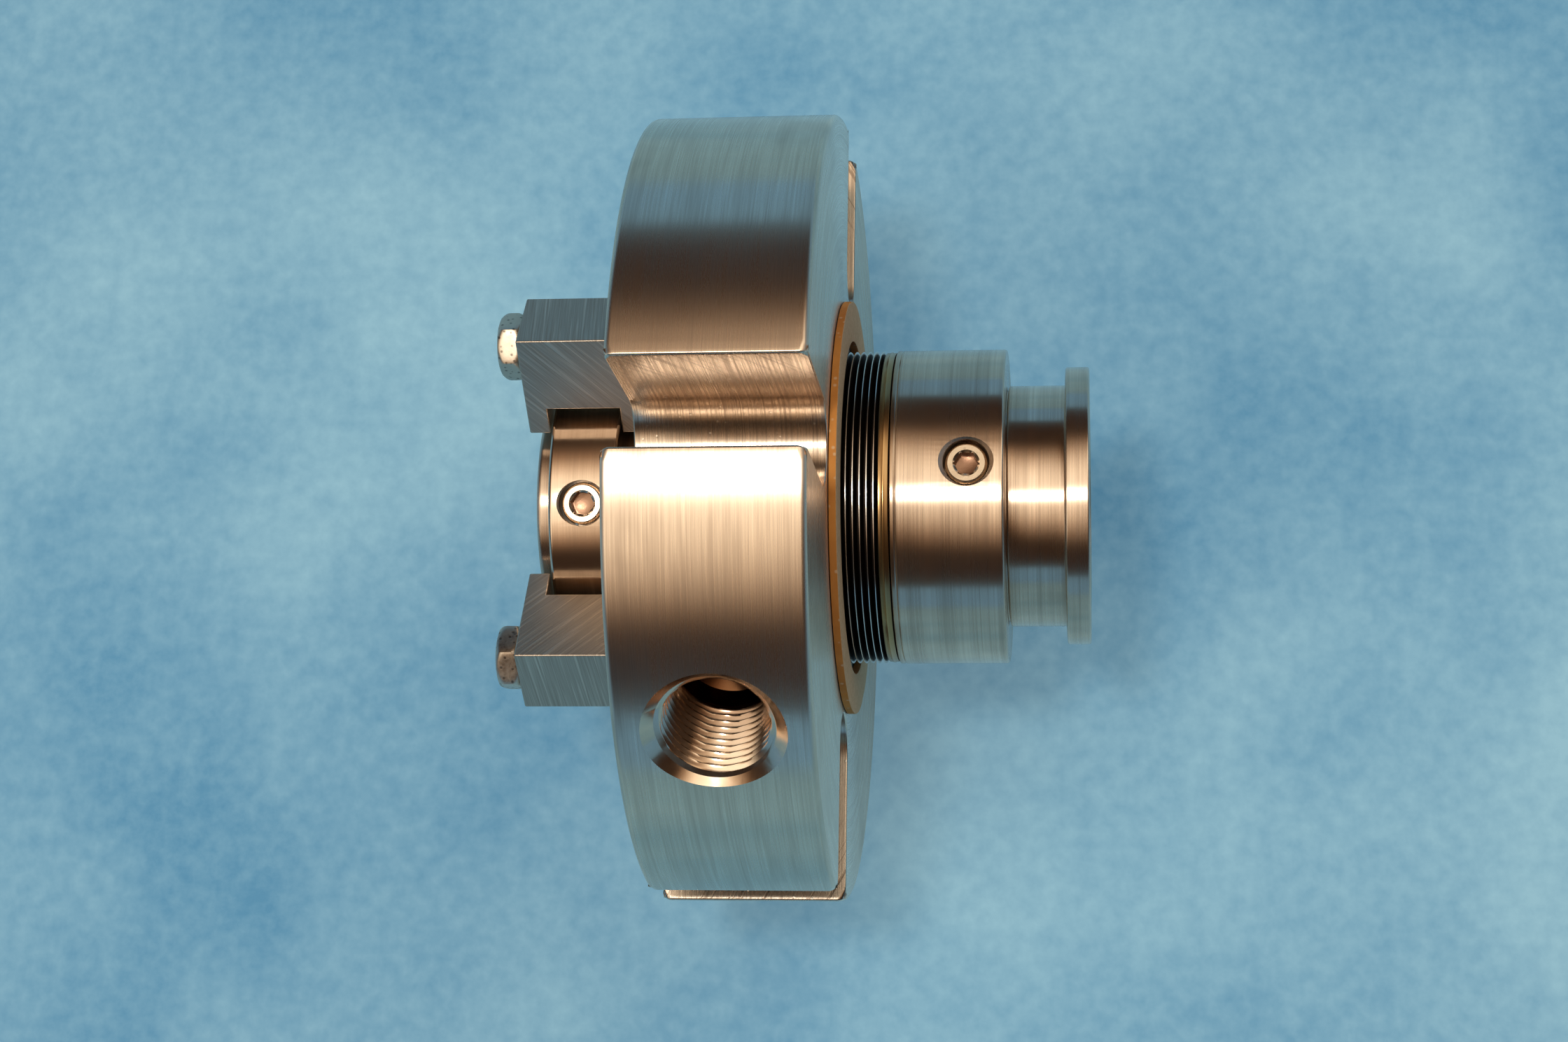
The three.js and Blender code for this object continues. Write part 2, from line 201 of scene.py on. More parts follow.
def shade(obj, limit=32):
    """Smooth faces with sharp edges past an angle, the large faces kept flat."""
    work = bmesh.new()
    work.from_mesh(obj.data)
    for face in work.faces:
        face.smooth = True
    for edge in work.edges:
        edge.smooth = len(edge.link_faces) == 2 and edge.calc_face_angle(0) < math.radians(limit)
    work.to_mesh(obj.data)
    work.free()
    weighted = obj.modifiers.new("weighted", "WEIGHTED_NORMAL")
    weighted.keep_sharp = True
    settle(obj)


def place(obj, material, body, slot, *nodes):
    """Gives a finished mesh its finish and its body, and hides the CAD nodes that it stands for."""
    if not obj.data.materials:
        obj.data.materials.append(material)
    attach(obj, body)
    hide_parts(*nodes)
    return obj


# ---- material helpers -----------------------------------------------------------------------------

class Graph:
    """A short way to write the nodes of a material or of the world."""

    def __init__(self, owner):
        owner.use_nodes = True
        self.owner = owner
        self.tree = owner.node_tree
        self.tree.nodes.clear()

    def node(self, kind, inputs=None, **settings):
        made = self.tree.nodes.new(kind)
        for key, value in settings.items():
            setattr(made, key, value)
        for key, value in (inputs or {}).items():
            self.set(made.inputs[key], value)
        return made

    def set(self, socket, value):
        if isinstance(value, bpy.types.NodeSocket):
            self.tree.links.new(value, socket)
        else:
            socket.default_value = value

    def ramp(self, value, stops):
        """Colours at rising values between 0 and 1."""
        made = self.node("ShaderNodeValToRGB", {0: value})
        elements = made.color_ramp.elements
        elements.remove(elements[1])
        for i, (at, colour) in enumerate(stops):
            element = elements[0] if i == 0 else elements.new(at)
            element.position = at
            element.color = rgb(*colour)
        return made.outputs[0]

    def put(self, **values):
        for key, value in values.items():
            self.set(self.surface.inputs[key.replace("_", " ")], value)

    def math(self, operation, *values):
        made = self.node("ShaderNodeMath", operation=operation)
        for socket, value in zip(made.inputs, values):
            self.set(socket, value)
        return made.outputs[0]

    def combine(self, x, y, z):
        return self.node("ShaderNodeCombineXYZ", {"X": x, "Y": y, "Z": z}).outputs[0]

    def separate(self, vector):
        return self.node("ShaderNodeSeparateXYZ", {0: vector}).outputs

    def coordinates(self, kind="Object"):
        return self.node("ShaderNodeTexCoord").outputs[kind]

    def noise(self, vector, scale, detail=2.0, roughness=0.55):
        return self.node("ShaderNodeTexNoise", {
            "Vector": vector, "Scale": scale, "Detail": detail, "Roughness": roughness,
        }).outputs["Fac"]

    def remap(self, value, low, high, to_low=0.0, to_high=1.0):
        return self.node("ShaderNodeMapRange", {
            "Value": value, "From Min": low, "From Max": high, "To Min": to_low, "To Max": to_high,
        }).outputs[0]

    def mix(self, factor, a, b):
        made = self.node("ShaderNodeMix", data_type="RGBA")
        self.set(made.inputs[0], factor)
        self.set(made.inputs[6], a)
        self.set(made.inputs[7], b)
        return made.outputs[2]

    def bump(self, height, distance, strength=1.0, normal=None):
        inputs = {"Height": height, "Distance": distance, "Strength": strength}
        if normal is not None:
            inputs["Normal"] = normal
        return self.node("ShaderNodeBump", inputs).outputs[0]

    def specks(self, vector, scale, size):
        """1 in small scattered dots, 0 elsewhere."""
        found = self.node("ShaderNodeTexVoronoi", {"Vector": vector, "Scale": scale}, feature="F1")
        return self.remap(found.outputs["Distance"], size, size * 0.5)


def rgb(r, g, b):
    return (r, g, b, 1.0)


def surface(name):
    """A new material with one principled shader."""
    g = Graph(bpy.data.materials.new(name))
    g.surface = g.node("ShaderNodeBsdfPrincipled")
    g.node("ShaderNodeOutputMaterial", {"Surface": g.surface.outputs[0]})
    return g


def turned_metal(name, light, dark, roughness, lines=1.3, run=26.0, depth=8e-6, anisotropy=0.75,
                 weld=None):
    """Steel with fine lines round the shaft axis, golden where the heat of a weld has coloured it."""
    g = surface(name)
    x, y, z = g.separate(g.coordinates())
    radius = g.math("SQRT", g.math("ADD", g.math("MULTIPLY", y, y), g.math("MULTIPLY", z, z)))
    along = g.math("MULTIPLY", g.math("ADD", x, radius), lines / MM)
    slow_y, slow_z = g.math("MULTIPLY", y, run), g.math("MULTIPLY", z, run)
    fine = g.noise(g.combine(along, slow_y, slow_z), 1.0, 4.0, 0.7)
    band = g.noise(g.combine(g.math("MULTIPLY", along, 0.16), slow_y, slow_z), 1.0, 2.0)
    smudge = g.noise(g.coordinates(), 38.0, 3.0)
    streak = g.math("ADD", g.math("MULTIPLY", fine, 0.65), g.math("MULTIPLY", band, 0.35))
    colour = g.mix(g.remap(streak, 0.34, 0.66), rgb(*dark), rgb(*light))
    rough = g.math("ADD", g.remap(streak, 0.3, 0.7, roughness * 1.2, roughness * 0.82),
                   g.remap(smudge, 0.35, 0.7, -0.02, 0.03))
    marks = g.math("MULTIPLY", g.remap(smudge, 0.56, 0.72), 0.30)
    colour = g.mix(marks, colour, rgb(0.30, 0.21, 0.15))
    if weld:
        heat = g.math("MULTIPLY", g.remap(x, weld[1], weld[0]), g.remap(band, 0.3, 0.6, 0.4, 1.0))
        colour = g.mix(heat, colour, rgb(0.36, 0.20, 0.08))
    tangent = g.node("ShaderNodeTangent", direction_type="RADIAL", axis="X").outputs[0]
    g.put(Base_Color=colour, Metallic=1.0, Roughness=rough, Anisotropic=anisotropy,
          Anisotropic_Rotation=0.25, Tangent=tangent, Normal=g.bump(fine, depth))
    return g.owner


def milled_metal(name, light, dark, roughness):
    """The walls of the bolt slots: tool marks down the wall, slanting scratches and near-white specks that
    are painted glints.
    """
    g = surface(name)
    here = g.coordinates()
    x, y, z = g.separate(here)
    radius = g.math("SQRT", g.math("ADD", g.math("MULTIPLY", y, y), g.math("MULTIPLY", z, z)))
    slow_y, slow_z = g.math("MULTIPLY", y, 18.0), g.math("MULTIPLY", z, 18.0)
    bands = g.noise(g.combine(g.math("MULTIPLY", x, 2600.0), slow_y, slow_z), 1.0, 4.0, 0.7)
    slant_at = g.math("MULTIPLY", g.math("ADD", x, g.math("MULTIPLY", radius, 0.6)), 1500.0)
    slant = g.remap(g.noise(g.combine(slant_at, slow_y, slow_z), 1.0, 2.0), 0.56, 0.66)
    near_rim = g.remap(radius, 0.058, 0.072)
    slant = g.math("MULTIPLY", slant, near_rim)
    # painted glints: small scattered specks turned near white, as if catching the light
    pits_and_glints = g.specks(here, 420.0, 0.12)
    marks = g.math("SUBTRACT", bands, g.math("MULTIPLY", slant, 0.5))
    base = g.mix(g.remap(marks, 0.3, 0.68), rgb(*dark), rgb(*light))
    colour = g.mix(g.math("MULTIPLY", pits_and_glints, 0.8), base, rgb(0.95, 0.90, 0.82))
    rough = g.remap(bands, 0.3, 0.7, roughness * 1.2, roughness * 0.8)
    height = g.math("ADD", marks, g.math("MULTIPLY", pits_and_glints, 0.6))
    tangent = g.node("ShaderNodeTangent", direction_type="RADIAL", axis="X").outputs[0]
    g.put(Base_Color=colour, Metallic=1.0, Roughness=rough, Anisotropic=0.6,
          Anisotropic_Rotation=0.25, Tangent=tangent, Normal=g.bump(height, 3e-5))
    return g.owner


def port_metal(name):
    """The flush port: steel-coloured at its mouth, with painted shade that makes it darker and browner down
    the hole.
    """
    g = surface(name)
    here = g.coordinates()
    x, y, z = g.separate(here)
    depth = g.math("MULTIPLY", g.math("SUBTRACT", z, y), math.sqrt(0.5))
    cloud = g.noise(here, 260.0, 4.0)
    mouth = g.mix(cloud, rgb(0.60, 0.46, 0.34), rgb(0.84, 0.68, 0.53))
    # painted shade: the colour turns dark brown with depth down the hole
    painted_hole_shade = g.mix(cloud, rgb(0.10, 0.045, 0.022), rgb(0.26, 0.12, 0.055))
    colour = g.mix(g.remap(depth, 0.050, 0.071), painted_hole_shade, mouth)
    g.put(Base_Color=colour, Metallic=1.0, Roughness=g.remap(cloud, 0.3, 0.7, 0.12, 0.22),
          Normal=g.bump(cloud, 8e-6))
    return g.owner


def bellows_metal(name):
    """Steel-coloured tips on the welded discs, near-black painted shade between them and a heat-tinted end
    ring.
    """
    g = surface(name)
    x, y, z = g.separate(g.coordinates())
    radius = g.math("SQRT", g.math("ADD", g.math("MULTIPLY", y, y), g.math("MULTIPLY", z, z)))
    grain = g.noise(g.coordinates(), 500.0, 2.0)
    tip = g.mix(grain, rgb(0.70, 0.62, 0.55), rgb(0.86, 0.79, 0.72))
    # painted shade: inside the tip radius the colour drops to near black down the grooves
    deep = g.remap(radius, 0.02925, 0.02965)
    tinted = g.mix(g.remap(x, 0.0079, 0.0081), tip, rgb(0.44, 0.27, 0.12))
    g.put(Base_Color=g.mix(deep, rgb(0.045, 0.032, 0.026), tinted), Metallic=1.0,
          Roughness=g.remap(deep, 0.0, 1.0, 0.5, 0.2))
    return g.owner


def ground_metal(name, light, dark, roughness):
    """The clips: coarse slanting grinding marks on the sides, marks across the outer end."""
    g = surface(name)
    here = g.coordinates()
    x, y, z = g.separate(here)
    facing = g.separate(g.coordinates("Normal"))
    on_end = g.math("GREATER_THAN", g.math("ABSOLUTE", facing[2]), 0.6)
    slant = g.math("ADD", g.math("MULTIPLY", x, 0.74), g.math("MULTIPLY", z, 0.67))
    run = g.math("SUBTRACT", g.math("MULTIPLY", x, 0.67), g.math("MULTIPLY", z, 0.74))
    end_slant = g.math("ADD", x, g.math("MULTIPLY", y, 0.08))
    across = g.node("ShaderNodeMix", data_type="FLOAT")
    g.set(across.inputs[0], on_end)
    g.set(across.inputs[2], slant)
    g.set(across.inputs[3], end_slant)
    lengthways = g.node("ShaderNodeMix", data_type="FLOAT")
    g.set(lengthways.inputs[0], on_end)
    g.set(lengthways.inputs[2], run)
    g.set(lengthways.inputs[3], y)
    fine_at = g.combine(g.math("MULTIPLY", across.outputs[0], 3600.0),
                        g.math("MULTIPLY", lengthways.outputs[0], 50.0), 0.0)
    deep_at = g.combine(g.math("MULTIPLY", across.outputs[0], 1900.0),
                        g.math("MULTIPLY", lengthways.outputs[0], 40.0), 3.0)
    fine = g.noise(fine_at, 1.0, 3.0, 0.7)
    deep = g.remap(g.noise(deep_at, 1.0, 2.0), 0.54, 0.66)
    marks = g.math("ADD", g.math("MULTIPLY", fine, 0.7), g.math("MULTIPLY", deep, 0.3))
    colour = g.mix(g.remap(marks, 0.15, 0.75), rgb(*dark), rgb(*light))
    rough = g.remap(fine, 0.3, 0.7, roughness * 1.15, roughness * 0.85)
    g.put(Base_Color=colour, Metallic=1.0, Roughness=rough, Normal=g.bump(marks, 5e-5))
    return g.owner


def plain_metal(name, light, dark, roughness, pits_and_glints=0.0, mottle=60.0):
    """Smooth steel with faint mottling, for screws and polished parts."""
    g = surface(name)
    here = g.coordinates()
    cloud = g.noise(here, mottle, 4.0, 0.6)
    grain = g.noise(here, 1400.0, 3.0, 0.6)
    base = g.mix(g.remap(cloud, 0.35, 0.65), rgb(*dark), rgb(*light))
    holes = g.math("MULTIPLY", g.specks(here, 900.0, 0.3), pits_and_glints)
    colour = g.mix(holes, base, rgb(0.09, 0.07, 0.06))
    rough = g.remap(g.math("ADD", grain, cloud), 0.7, 1.3, roughness * 0.75, roughness * 1.3)
    height = g.math("SUBTRACT", grain, holes)
    g.put(Base_Color=colour, Metallic=1.0, Roughness=rough, Normal=g.bump(height, 1.2e-5))
    return g.owner


def fibre_gasket(name):
    """Pressed fibre: tan faces, orange-brown cut edges, short fibres and flecks."""
    g = surface(name)
    here = g.coordinates()
    facing = g.separate(g.coordinates("Normal"))
    on_face = g.remap(g.math("ABSOLUTE", facing[0]), 0.5, 0.9)
    fibres = g.noise(here, 1500.0, 5.0, 0.75)
    cloud = g.noise(here, 90.0, 3.0)
    tan = g.mix(g.remap(fibres, 0.3, 0.7), rgb(0.55, 0.31, 0.15), rgb(0.76, 0.50, 0.29))
    edge = g.mix(g.remap(cloud, 0.3, 0.7), rgb(0.50, 0.17, 0.032), rgb(0.74, 0.31, 0.07))
    pale = g.specks(here, 520.0, 0.22)
    cut_edge = g.mix(g.math("MULTIPLY", pale, 0.55), edge, rgb(0.8, 0.62, 0.4))
    g.put(Base_Color=g.mix(on_face, cut_edge, tan), Roughness=g.remap(fibres, 0.3, 0.7, 0.75, 0.9),
          Specular_IOR_Level=0.3, Normal=g.bump(fibres, 5e-5))
    return g.owner


def dull_solid(name, light, dark, roughness, scale, depth):
    """Rubber, carbon or ceramic: a dark grain."""
    g = surface(name)
    here = g.coordinates()
    grain = g.noise(here, scale, 4.0, 0.65)
    cloud = g.noise(here, 60.0, 2.0)
    colour = g.mix(g.remap(g.math("ADD", grain, cloud), 0.7, 1.3), rgb(*dark), rgb(*light))
    g.put(Base_Color=colour, Roughness=g.remap(grain, 0.3, 0.7, roughness * 0.85, roughness * 1.15),
          Normal=g.bump(grain, depth))
    return g.owner


GLAND_STEEL = turned_metal("gland_steel", (0.87, 0.71, 0.56), (0.62, 0.48, 0.37), 0.28, lines=3.2,
                           run=34.0, anisotropy=0.92)
SLOT_STEEL = milled_metal("slot_steel", (0.84, 0.70, 0.57), (0.36, 0.28, 0.22), 0.27)
PORT_STEEL = port_metal("port_steel")
SLEEVE_STEEL = turned_metal("sleeve_steel", (0.76, 0.60, 0.47), (0.50, 0.38, 0.29), 0.25, lines=2.4,
                            run=14.0, depth=1.1e-5, anisotropy=0.92)
HOLDER_STEEL = turned_metal("holder_steel", (0.76, 0.60, 0.47), (0.50, 0.38, 0.29), 0.25, lines=2.4,
                            run=14.0, depth=1.1e-5, anisotropy=0.92, weld=(0.0095, 0.0118))
COLLAR_STEEL = turned_metal("collar_steel", (0.74, 0.58, 0.45), (0.60, 0.46, 0.35), 0.17, lines=2.4,
                            run=20.0, depth=2e-6, anisotropy=0.6)
BELLOWS_STEEL = bellows_metal("bellows_steel")
CLIP_STEEL = ground_metal("clip_steel", (0.66, 0.56, 0.46), (0.34, 0.28, 0.23), 0.40)
HEAD_STEEL = plain_metal("cap_screw_steel", (0.68, 0.58, 0.47), (0.50, 0.41, 0.33), 0.34, pits_and_glints=0.7)
# painted shade: the set screws' hex sockets take a dark brown version of the steel
SOCKET_SHADE = plain_metal("socket_painted_shade", (0.34, 0.20, 0.13), (0.20, 0.11, 0.07), 0.30)
SCREW_STEEL = plain_metal("set_screw_steel", (0.74, 0.62, 0.50), (0.52, 0.42, 0.32), 0.22, pits_and_glints=0.2)
GASKET_FIBRE = fibre_gasket("gasket_fibre")
CARBON = dull_solid("carbon_graphite", (0.060, 0.060, 0.064), (0.028, 0.028, 0.030), 0.45, 1500.0, 6e-6)
CERAMIC = dull_solid("silicon_carbide", (0.13, 0.135, 0.14), (0.085, 0.088, 0.092), 0.22, 2200.0, 2e-6)
RUBBER = dull_solid("black_rubber", (0.030, 0.030, 0.030), (0.015, 0.015, 0.015), 0.55, 900.0, 1e-5)


# ---- camera, floor and light ----------------------------------------------------------------------

FLOOR_Z = -math.sqrt(GLAND_RADIUS ** 2 - SLOT_HALF ** 2)
LENS, SENSOR = 64.286, 36.0
CAMERA_PLACE = (48.96, -132.4, 520.4)
CAMERA_RIGHT = Vector((0.99351, 0.01939, -0.11205))
CAMERA_UP = Vector((0.00883, 0.96923, 0.24601))
CAMERA_SHIFT_Y = -0.00885
PANEL_SLANT, PANEL_LEAN = 0.8, 0.06


def make_camera():
    data = bpy.data.cameras.new("camera")
    data.lens = LENS
    data.sensor_width = SENSOR
    data.shift_y = CAMERA_SHIFT_Y
    camera = bpy.data.objects.new("camera", data)
    back = CAMERA_RIGHT.cross(CAMERA_UP)
    turn = Matrix((CAMERA_RIGHT, CAMERA_UP, back)).transposed()
    camera.matrix_world = Matrix.Translation(Vector(CAMERA_PLACE) * MM) @ turn.to_4x4()
    bpy.context.scene.collection.objects.link(camera)
    bpy.context.scene.camera = camera


def make_floor():
    """A large pale sheet under the seal, which glows with its own colour as a painted fill light."""
    size, cells = 2400.0, 24
    work = bmesh.new()
    bmesh.ops.create_grid(work, x_segments=cells, y_segments=cells, size=size * MM)
    mesh = bpy.data.meshes.new("floor")
    work.to_mesh(mesh)
    work.free()
    floor = bpy.data.objects.new("floor", mesh)
    floor.location = (0, 0, FLOOR_Z * MM)
    bpy.context.scene.collection.objects.link(floor)
    g = surface("pale_paper_painted_glow")
    cloud = g.noise(g.coordinates(), 9.0, 3.0)
    fibres = g.noise(g.coordinates(), 260.0, 4.0)
    shade_of = g.math("ADD", g.math("MULTIPLY", cloud, 0.75), g.math("MULTIPLY", fibres, 0.25))
    tint = g.mix(g.remap(shade_of, 0.35, 0.65), rgb(0.085, 0.235, 0.385), rgb(0.235, 0.425, 0.54))
    # painted fill light: the sheet glows with its own colour, which softens its shadows and lights the seal
    # from below
    g.put(Base_Color=tint, Roughness=0.9, Specular_IOR_Level=0.1, Emission_Color=tint,
          Emission_Strength=0.5)
    mesh.materials.append(g.owner)


def make_world():
    """A soft light panel overhead in a dim warm room, with a pale band low down all round."""
    world = bpy.data.worlds.new("studio")
    bpy.context.scene.world = world
    g = Graph(world)
    x, y, z = g.separate(g.coordinates("Generated"))
    elevation = g.math("DIVIDE", g.math("ARCSINE", z), math.pi / 2)
    room = g.ramp(elevation, [(at / 90, colour) for at, colour in (
        (0, (0.145, 0.32, 0.52)), (14.0, (0.15, 0.315, 0.47)), (16.5, (0.050, 0.050, 0.042)),
        (25, (0.040, 0.023, 0.015)), (40, (0.050, 0.031, 0.020)), (90, (0.08, 0.06, 0.04)),
    )])
    # the panel runs across at a slant, so it is met at a different angle along the shaft
    middle = g.math("ADD", g.math("MULTIPLY", x, PANEL_SLANT), g.math("MULTIPLY", z, PANEL_LEAN))
    away = g.math("ABSOLUTE", g.math("DIVIDE", g.math("SUBTRACT", y, middle), g.math("MAXIMUM", z, 0.05)))
    panel = g.ramp(g.math("MULTIPLY", away, 0.5), [(at / 2, colour) for at, colour in (
        (0, (1.75, 1.62, 1.36)), (0.30, (1.50, 1.32, 1.04)), (0.46, (0.92, 0.70, 0.49)),
        (0.64, (0.34, 0.21, 0.125)), (0.84, (0.08, 0.043, 0.022)), (1.02, (0.0, 0.0, 0.0)),
    )])
    overhead = g.mix(g.remap(elevation, 0.33, 0.5), rgb(0, 0, 0), panel)
    light = g.node("ShaderNodeVectorMath", {0: room, 1: overhead}, operation="ADD").outputs[0]
    glow = g.node("ShaderNodeBackground", {"Color": light})
    g.node("ShaderNodeOutputWorld", {"Surface": glow.outputs[0]})


def make_lamp(name, place, size, power, colour):
    data = bpy.data.lights.new(name, "AREA")
    data.shape = "DISK"
    data.size = size
    data.energy = power
    data.color = colour
    lamp = bpy.data.objects.new(name, data)
    lamp.location = place
    lamp.rotation_euler = (-Vector(place)).to_track_quat("-Z", "Y").to_euler()
    bpy.context.scene.collection.objects.link(lamp)


make_camera()
make_floor()
make_world()
make_lamp("overhead", (-0.08, -0.075, 0.9), 0.12, 2.0, (1.0, 0.97, 0.90))


# ---- gland plate ----------------------------------------------------------------------------------

def turned_point(across, out, angle):
    """A point in the (y, z) plane, across and out along a direction round the shaft."""
    a = math.radians(angle)
    return (across * math.cos(a) + out * math.sin(a), out * math.cos(a) - across * math.sin(a))


def gland_outline():
    """The plate's outline in (y, z), going round from +Z to +Y, and the edge width at each point."""
    corner_out = math.sqrt(GLAND_RADIUS ** 2 - SLOT_HALF ** 2)
    centre = SLOT_FLOOR + SLOT_HALF
    corners, half_slot = [], math.degrees(math.asin(SLOT_HALF / GLAND_RADIUS))
    for slot in range(4):
        angle = 90 * slot
        corners.append((*turned_point(-SLOT_HALF, corner_out, angle), CORNER))
        for drop in (1.0, 1.5, 2.0, 2.6, 5.0, 9.0, 14.0, 20.0):
            corners.append(turned_point(-SLOT_HALF, corner_out - drop, angle))
        for i in range(33):
            a = math.pi * i / 32
            corners.append(turned_point(-SLOT_HALF * math.cos(a), centre - SLOT_HALF * math.sin(a), angle))
        for drop in (20.0, 14.0, 9.0, 5.0, 2.6, 2.0, 1.5, 1.0):
            corners.append(turned_point(SLOT_HALF, corner_out - drop, angle))
        corners.append((*turned_point(SLOT_HALF, corner_out, angle), CORNER))
        steps = FINE // 4
        close = [math.degrees(d / GLAND_RADIUS) for d in (1.0, 1.5, 2.0, 2.6)]
        start, end = angle + half_slot, angle + 90 - half_slot
        spread = [start + (end - start) * i / steps for i in range(3, steps - 2)]
        for at in [start + d for d in close] + spread + [end - d for d in reversed(close)]:
            corners.append(turned_point(0, GLAND_RADIUS, at))
    points = rounded(corners)
    widths = []
    for y, z in points:
        beside = max(min(abs(y), abs(z)) - SLOT_HALF, 0)
        below = max(corner_out - max(abs(y), abs(z)), 0)
        on_rim = math.hypot(y, z) > GLAND_RADIUS - CORNER / 2
        plain = RIM_EDGE if on_rim else SLOT_EDGE
        near = max(0, 1 - (beside if on_rim else below) / 2.6)
        widths.append(plain + (CORNER_EDGE - plain) * near * near * (3 - 2 * near))
    return points, widths


def gland_blank():
    """The plate with its four slots and its rounded edges, before it is bored."""
    points, widths = gland_outline()
    count, steps = len(points), 5
    inward = []
    for i in range(count):
        before, after = points[i - 1], points[(i + 1) % count]
        along = Vector((after[0] - before[0], after[1] - before[1])).normalized()
        inward.append((along[1], -along[0]))
    rings = []
    for face, sign in ((GLAND_LEFT, 1), (GLAND_RIGHT, -1)):
        side = []
        for k in range(steps + 1):
            a = math.pi / 2 * k / steps
            inset, drop = 1 - math.sin(a), 1 - math.cos(a)
            side.append([
                (face + sign * w * drop, p[0] + n[0] * w * inset, p[1] + n[1] * w * inset)
                for p, n, w in zip(points, inward, widths)
            ])
        rings += side if sign > 0 else side[::-1]
    vertices = [v for ring in rings for v in ring]
    faces = [tuple(range(count)), tuple(reversed(range(len(vertices) - count, len(vertices))))]
    for i in range(len(rings) - 1):
        for j in range(count):
            k = (j + 1) % count
            faces.append((i * count + j, (i + 1) * count + j, (i + 1) * count + k, i * count + k))
    return mesh_object("gland_body", vertices, faces)


def bore_cutter():
    left, right, edge = GLAND_LEFT, GLAND_RIGHT, 0.4
    groove_left, groove_right = [x + s for x, s in zip(span("retaining_ring"), (-0.3, 0.3))]
    groove_floor = THROAT_RADIUS + 1.5
    return spin("bore_cutter", [
        (right + 2, 0), (right + 2, CAVITY_RADIUS + 2 + edge), (right, CAVITY_RADIUS + edge),
        (right - edge, CAVITY_RADIUS), (right - CAVITY_DEPTH, CAVITY_RADIUS),
        (right - CAVITY_DEPTH, SEAT_RADIUS), (right - SEAT_DEPTH, SEAT_RADIUS),
        (right - SEAT_DEPTH, THROAT_RADIUS), (groove_right, THROAT_RADIUS), (groove_right, groove_floor),
        (groove_left, groove_floor), (groove_left, THROAT_RADIUS), (left + edge, THROAT_RADIUS),
        (left, THROAT_RADIUS + edge), (left - 2, THROAT_RADIUS + 2 + edge), (left - 2, 0),
    ], ROUND)


def port_cutter():
    """The countersunk, threaded flush port and the passage from it to the bellows."""
    mouth = GLAND_RADIUS - (PORT_SINK_RADIUS - PORT_RADIUS)
    thread_end = mouth - PORT_THREAD_LENGTH
    floor = GLAND_RADIUS - PORT_DEPTH - 2
    rings = [(GLAND_RADIUS + 2, 0), (GLAND_RADIUS + 2, PORT_SINK_RADIUS + 2), (mouth, PORT_RADIUS)]
    rows = round(PORT_THREAD_LENGTH / THREAD_PITCH * 12)
    for i in range(1, rows):
        depth = PORT_THREAD_LENGTH * i / rows
        crest = PORT_RADIUS - depth / 32
        fade = min(1.0, (PORT_THREAD_LENGTH - depth) / THREAD_PITCH)

        def thread(a, depth=depth, crest=crest, fade=fade):
            phase = (depth / THREAD_PITCH - a / (2 * math.pi)) % 1
            ridge = min(max((1 - abs(2 * phase - 1) - 0.1) / 0.8, 0), 1)
            cut_in = PORT_THREAD_DEPTH * (ridge * fade + (1 - fade))
            return crest - cut_in

        rings.append((mouth - depth, thread))
    rings += [
        (thread_end, PORT_DRILL_RADIUS), (floor, PORT_DRILL_RADIUS),
        (floor - PORT_DRILL_POINT + 1, PORT_PASSAGE_RADIUS), (CAVITY_RADIUS - 2, PORT_PASSAGE_RADIUS),
        (CAVITY_RADIUS - 2, 0),
    ]
    return on_radius(spin("port_cutter", rings, SMALL), PORT_ANGLE, PORT_X)


def gland_plate():
    obj = gland_blank()
    cut(obj, bore_cutter())
    cut(obj, port_cutter())
    shade(obj)
    for material in (GLAND_STEEL, SLOT_STEEL, PORT_STEEL):
        obj.data.materials.append(material)
    a = math.radians(PORT_ANGLE)
    port = Vector((0, math.sin(a), math.cos(a)))
    for face in obj.data.polygons:
        at = face.center / MM
        out = at.dot(port)
        beside_port = (at - Vector((PORT_X, 0, 0)) - port * out).length
        near_wall = min(abs(at.y), abs(at.z)) < SLOT_HALF + 0.4
        radial = math.hypot(at.y, at.z)
        if out > CAVITY_RADIUS and beside_port < PORT_SINK_RADIUS and radial < GLAND_RADIUS - 0.12:
            face.material_index = 2
        elif near_wall and SLOT_FLOOR - 0.2 < radial < GLAND_RADIUS - 0.3 and abs(face.normal.x) < 0.8:
            face.material_index = 1
    return place(obj, GLAND_STEEL, "gland", "turned_steel", "gland_plate")


gland_plate()


# ---- gasket and the pieces inside the gland -------------------------------------------------------

def gasket():
    """A pressed fibre ring with small nicks along its outer edge."""
    left, right = span("gland_gasket")
    inner, outer = GASKET_INNER, outer_radius("gland_gasket")
    chance = random.Random(11)
    nicks = [(chance.uniform(0, 2 * math.pi), chance.uniform(0.012, 0.03), chance.uniform(0.1, 0.35))
             for _ in range(14)]

    def edge(a, share=1.0):
        dent = 0.0
        for at, width, depth in nicks:
            away = (a - at + math.pi) % (2 * math.pi) - math.pi
            dent += depth * math.exp(-(away / width) ** 2)
        wave = 0.05 * math.sin(5 * a) + 0.04 * math.sin(13 * a + 1)
        return outer - 0.1 + wave - dent * share

    rings = [
        (left, inner), (right - 0.1, inner), (right, inner + 0.1),
        (right, lambda a: edge(a, 1.6) - 0.15), (right - 0.12, edge), (left, lambda a: edge(a, 0.3)),
    ]
    obj = spin("gasket_ring", rings, FINE * 2)
    shade(obj, 50)
    return place(obj, GASKET_FIBRE, "gland", "gasket_fibre", "gland_gasket")


def plain_ring(node, name, inner, material, body, slot, edge=0.3):
    """A fine version of a ring with square ends."""
    left, right = span(node)
    outer = outer_radius(node)
    obj = lathe(name, [(left, inner, edge), (right, inner, edge), (right, outer, edge), (left, outer, edge)])
    shade(obj)
    return place(obj, material, body, slot, node)


